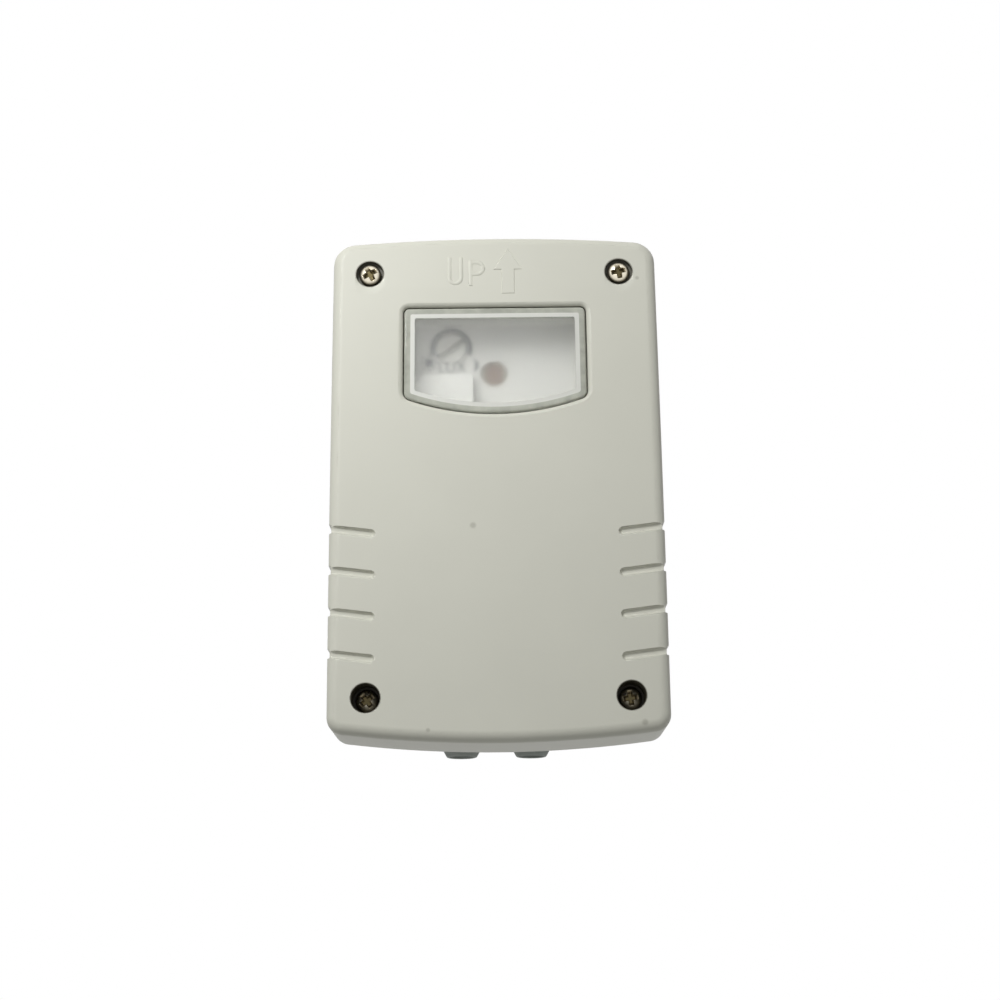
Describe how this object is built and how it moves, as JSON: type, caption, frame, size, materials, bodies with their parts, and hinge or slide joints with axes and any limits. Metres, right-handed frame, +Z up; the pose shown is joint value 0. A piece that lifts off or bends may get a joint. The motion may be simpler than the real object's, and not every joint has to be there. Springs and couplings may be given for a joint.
{
  "type": "dusk sensor switch",
  "caption": "Wall-mounted dusk switch: sealed case with a light window, lux adjuster, relay board, screw terminals and two cable grommets in the underside.",
  "frame": {"origin": "on the wall face of the rear base, on the centreline, halfway between the upper and lower cover screws", "axes": "+X to the right seen from the front, +Y into the wall, +Z up"},
  "size_m": [0.068, 0.038, 0.1083],
  "materials": {
    "cover_plastic": "fine moulded texture, pale warm grey",
    "base_plastic": "fine moulded texture, pale warm grey",
    "lens_plastic": "clear rim, frosted plate",
    "seal_foam": "closed-cell foam",
    "grommet_rubber": "grey moulded rubber",
    "nickel_screw": "bright nickel plate",
    "zinc_screw": "zinc plate",
    "panel_plastic": "white moulded",
    "board_laminate": "green solder mask",
    "terminal_plastic": "pale grey polyamide",
    "contact_brass": "tinned brass",
    "relay_plastic": "blue moulded",
    "relay_base_plastic": "black moulded",
    "bobbin_plastic": "natural polyester",
    "winding_copper": "enamelled copper wire",
    "soft_iron": "plated soft iron",
    "cell_face": "resin-coated pink cell with a comb track",
    "spacer_plastic": "white moulded",
    "adjuster_plastic": "pale grey moulded",
    "adjuster_body": "black moulded",
    "film_case": "red resin-filled case",
    "can_sleeve": "black shrink sleeve",
    "fuse_case": "black moulded",
    "varistor_coat": "blue epoxy",
    "black_epoxy": "black moulded epoxy",
    "zener_glass": "orange glass",
    "resistor_coat": "tan lacquer with colour bands"
  },
  "bodies": {
    "base": {"rear_base": "base_plastic", "cover_gasket": "seal_foam", "cable_grommet_left": "grommet_rubber", "cable_grommet_right": "grommet_rubber", "inner_panel": "panel_plastic", "panel_screws": "zinc_screw", "board_screws": "zinc_screw", "light_sensor": "cell_face", "sensor_spacer": "spacer_plastic", "lux_potentiometer": "adjuster_body", "terminal_block": "terminal_plastic", "terminal_contacts": "contact_brass", "relay_case": "relay_plastic", "relay_base": "relay_base_plastic", "relay_bobbin": "bobbin_plastic", "relay_coil": "winding_copper", "relay_core": "soft_iron", "relay_yoke": "soft_iron", "relay_fixed_contacts": "contact_brass", "relay_coil_pins": "contact_brass", "film_capacitor": "film_case", "smoothing_capacitor": "can_sleeve", "board_fuse": "fuse_case", "surge_varistor": "varistor_coat", "driver_transistor": "black_epoxy", "comparator_chip": "black_epoxy", "rectifier_diodes": "black_epoxy", "zener_diode": "zener_glass", "resistors": "resistor_coat", "circuit_board": "board_laminate"},
    "cover": {"front_cover": "cover_plastic", "window_lens": "lens_plastic", "window_seal": "seal_foam"},
    "screw_top_left": {"cover_screw_top_left": "nickel_screw"},
    "screw_top_right": {"cover_screw_top_right": "nickel_screw"},
    "screw_bottom_left": {"cover_screw_bottom_left": "nickel_screw"},
    "screw_bottom_right": {"cover_screw_bottom_right": "nickel_screw"},
    "lux_adjuster": {"lux_knob": "adjuster_plastic"},
    "armature": {"relay_armature": "soft_iron", "relay_contact_spring": "contact_brass"},
    "terminal_screw_1": {"terminal_screw_1": "zinc_screw"},
    "terminal_clamp_1": {"terminal_clamp_1": "contact_brass"},
    "terminal_screw_2": {"terminal_screw_2": "zinc_screw"},
    "terminal_clamp_2": {"terminal_clamp_2": "contact_brass"},
    "terminal_screw_3": {"terminal_screw_3": "zinc_screw"},
    "terminal_clamp_3": {"terminal_clamp_3": "contact_brass"}
  },
  "joints": [
    {"name": "cover_lift", "type": "slide", "parent": "base", "child": "cover", "axis": [0, -1, 0], "range_m": [0, 0.06]},
    {"name": "unscrew_top_left", "type": "slide", "parent": "cover", "child": "screw_top_left", "axis": [0, -1, 0], "range_m": [0, 0.012]},
    {"name": "unscrew_top_right", "type": "slide", "parent": "cover", "child": "screw_top_right", "axis": [0, -1, 0], "range_m": [0, 0.012]},
    {"name": "unscrew_bottom_left", "type": "slide", "parent": "cover", "child": "screw_bottom_left", "axis": [0, -1, 0], "range_m": [0, 0.012]},
    {"name": "unscrew_bottom_right", "type": "slide", "parent": "cover", "child": "screw_bottom_right", "axis": [0, -1, 0], "range_m": [0, 0.012]},
    {"name": "lux_turn", "type": "hinge", "parent": "base", "child": "lux_adjuster", "pos_m": [-0.0093, -0.0262, 0.0307], "axis": [0, -1, 0], "range_deg": [-81, 189]},
    {"name": "armature_swing", "type": "hinge", "parent": "base", "child": "armature", "pos_m": [-0.01438, -0.02345, 0.01777], "axis": [1, 0, 0], "range_deg": [0, 3.5], "stiffness_Nm_per_rad": 0.005, "springref_deg": -17.19},
    {"name": "terminal_turn_1", "type": "hinge", "parent": "base", "child": "terminal_screw_1", "pos_m": [-0.01, -0.0253, -0.027], "axis": [0, 1, 0], "range_deg": [0, 1841]},
    {"name": "terminal_grip_1", "type": "slide", "parent": "base", "child": "terminal_clamp_1", "axis": [0, -1, 0], "range_m": [0, 0.0023]},
    {"name": "terminal_turn_2", "type": "hinge", "parent": "base", "child": "terminal_screw_2", "pos_m": [0, -0.0253, -0.027], "axis": [0, 1, 0], "range_deg": [0, 1841]},
    {"name": "terminal_grip_2", "type": "slide", "parent": "base", "child": "terminal_clamp_2", "axis": [0, -1, 0], "range_m": [0, 0.0023]},
    {"name": "terminal_turn_3", "type": "hinge", "parent": "base", "child": "terminal_screw_3", "pos_m": [0.01, -0.0253, -0.027], "axis": [0, 1, 0], "range_deg": [0, 1841]},
    {"name": "terminal_grip_3", "type": "slide", "parent": "base", "child": "terminal_clamp_3", "axis": [0, -1, 0], "range_m": [0, 0.0023]}
  ],
  "couplings": [
    {"joint": "terminal_turn_1", "follows": "terminal_grip_1", "rad_per_m": 13963},
    {"joint": "terminal_turn_2", "follows": "terminal_grip_2", "rad_per_m": 13963},
    {"joint": "terminal_turn_3", "follows": "terminal_grip_3", "rad_per_m": 13963}
  ]
}
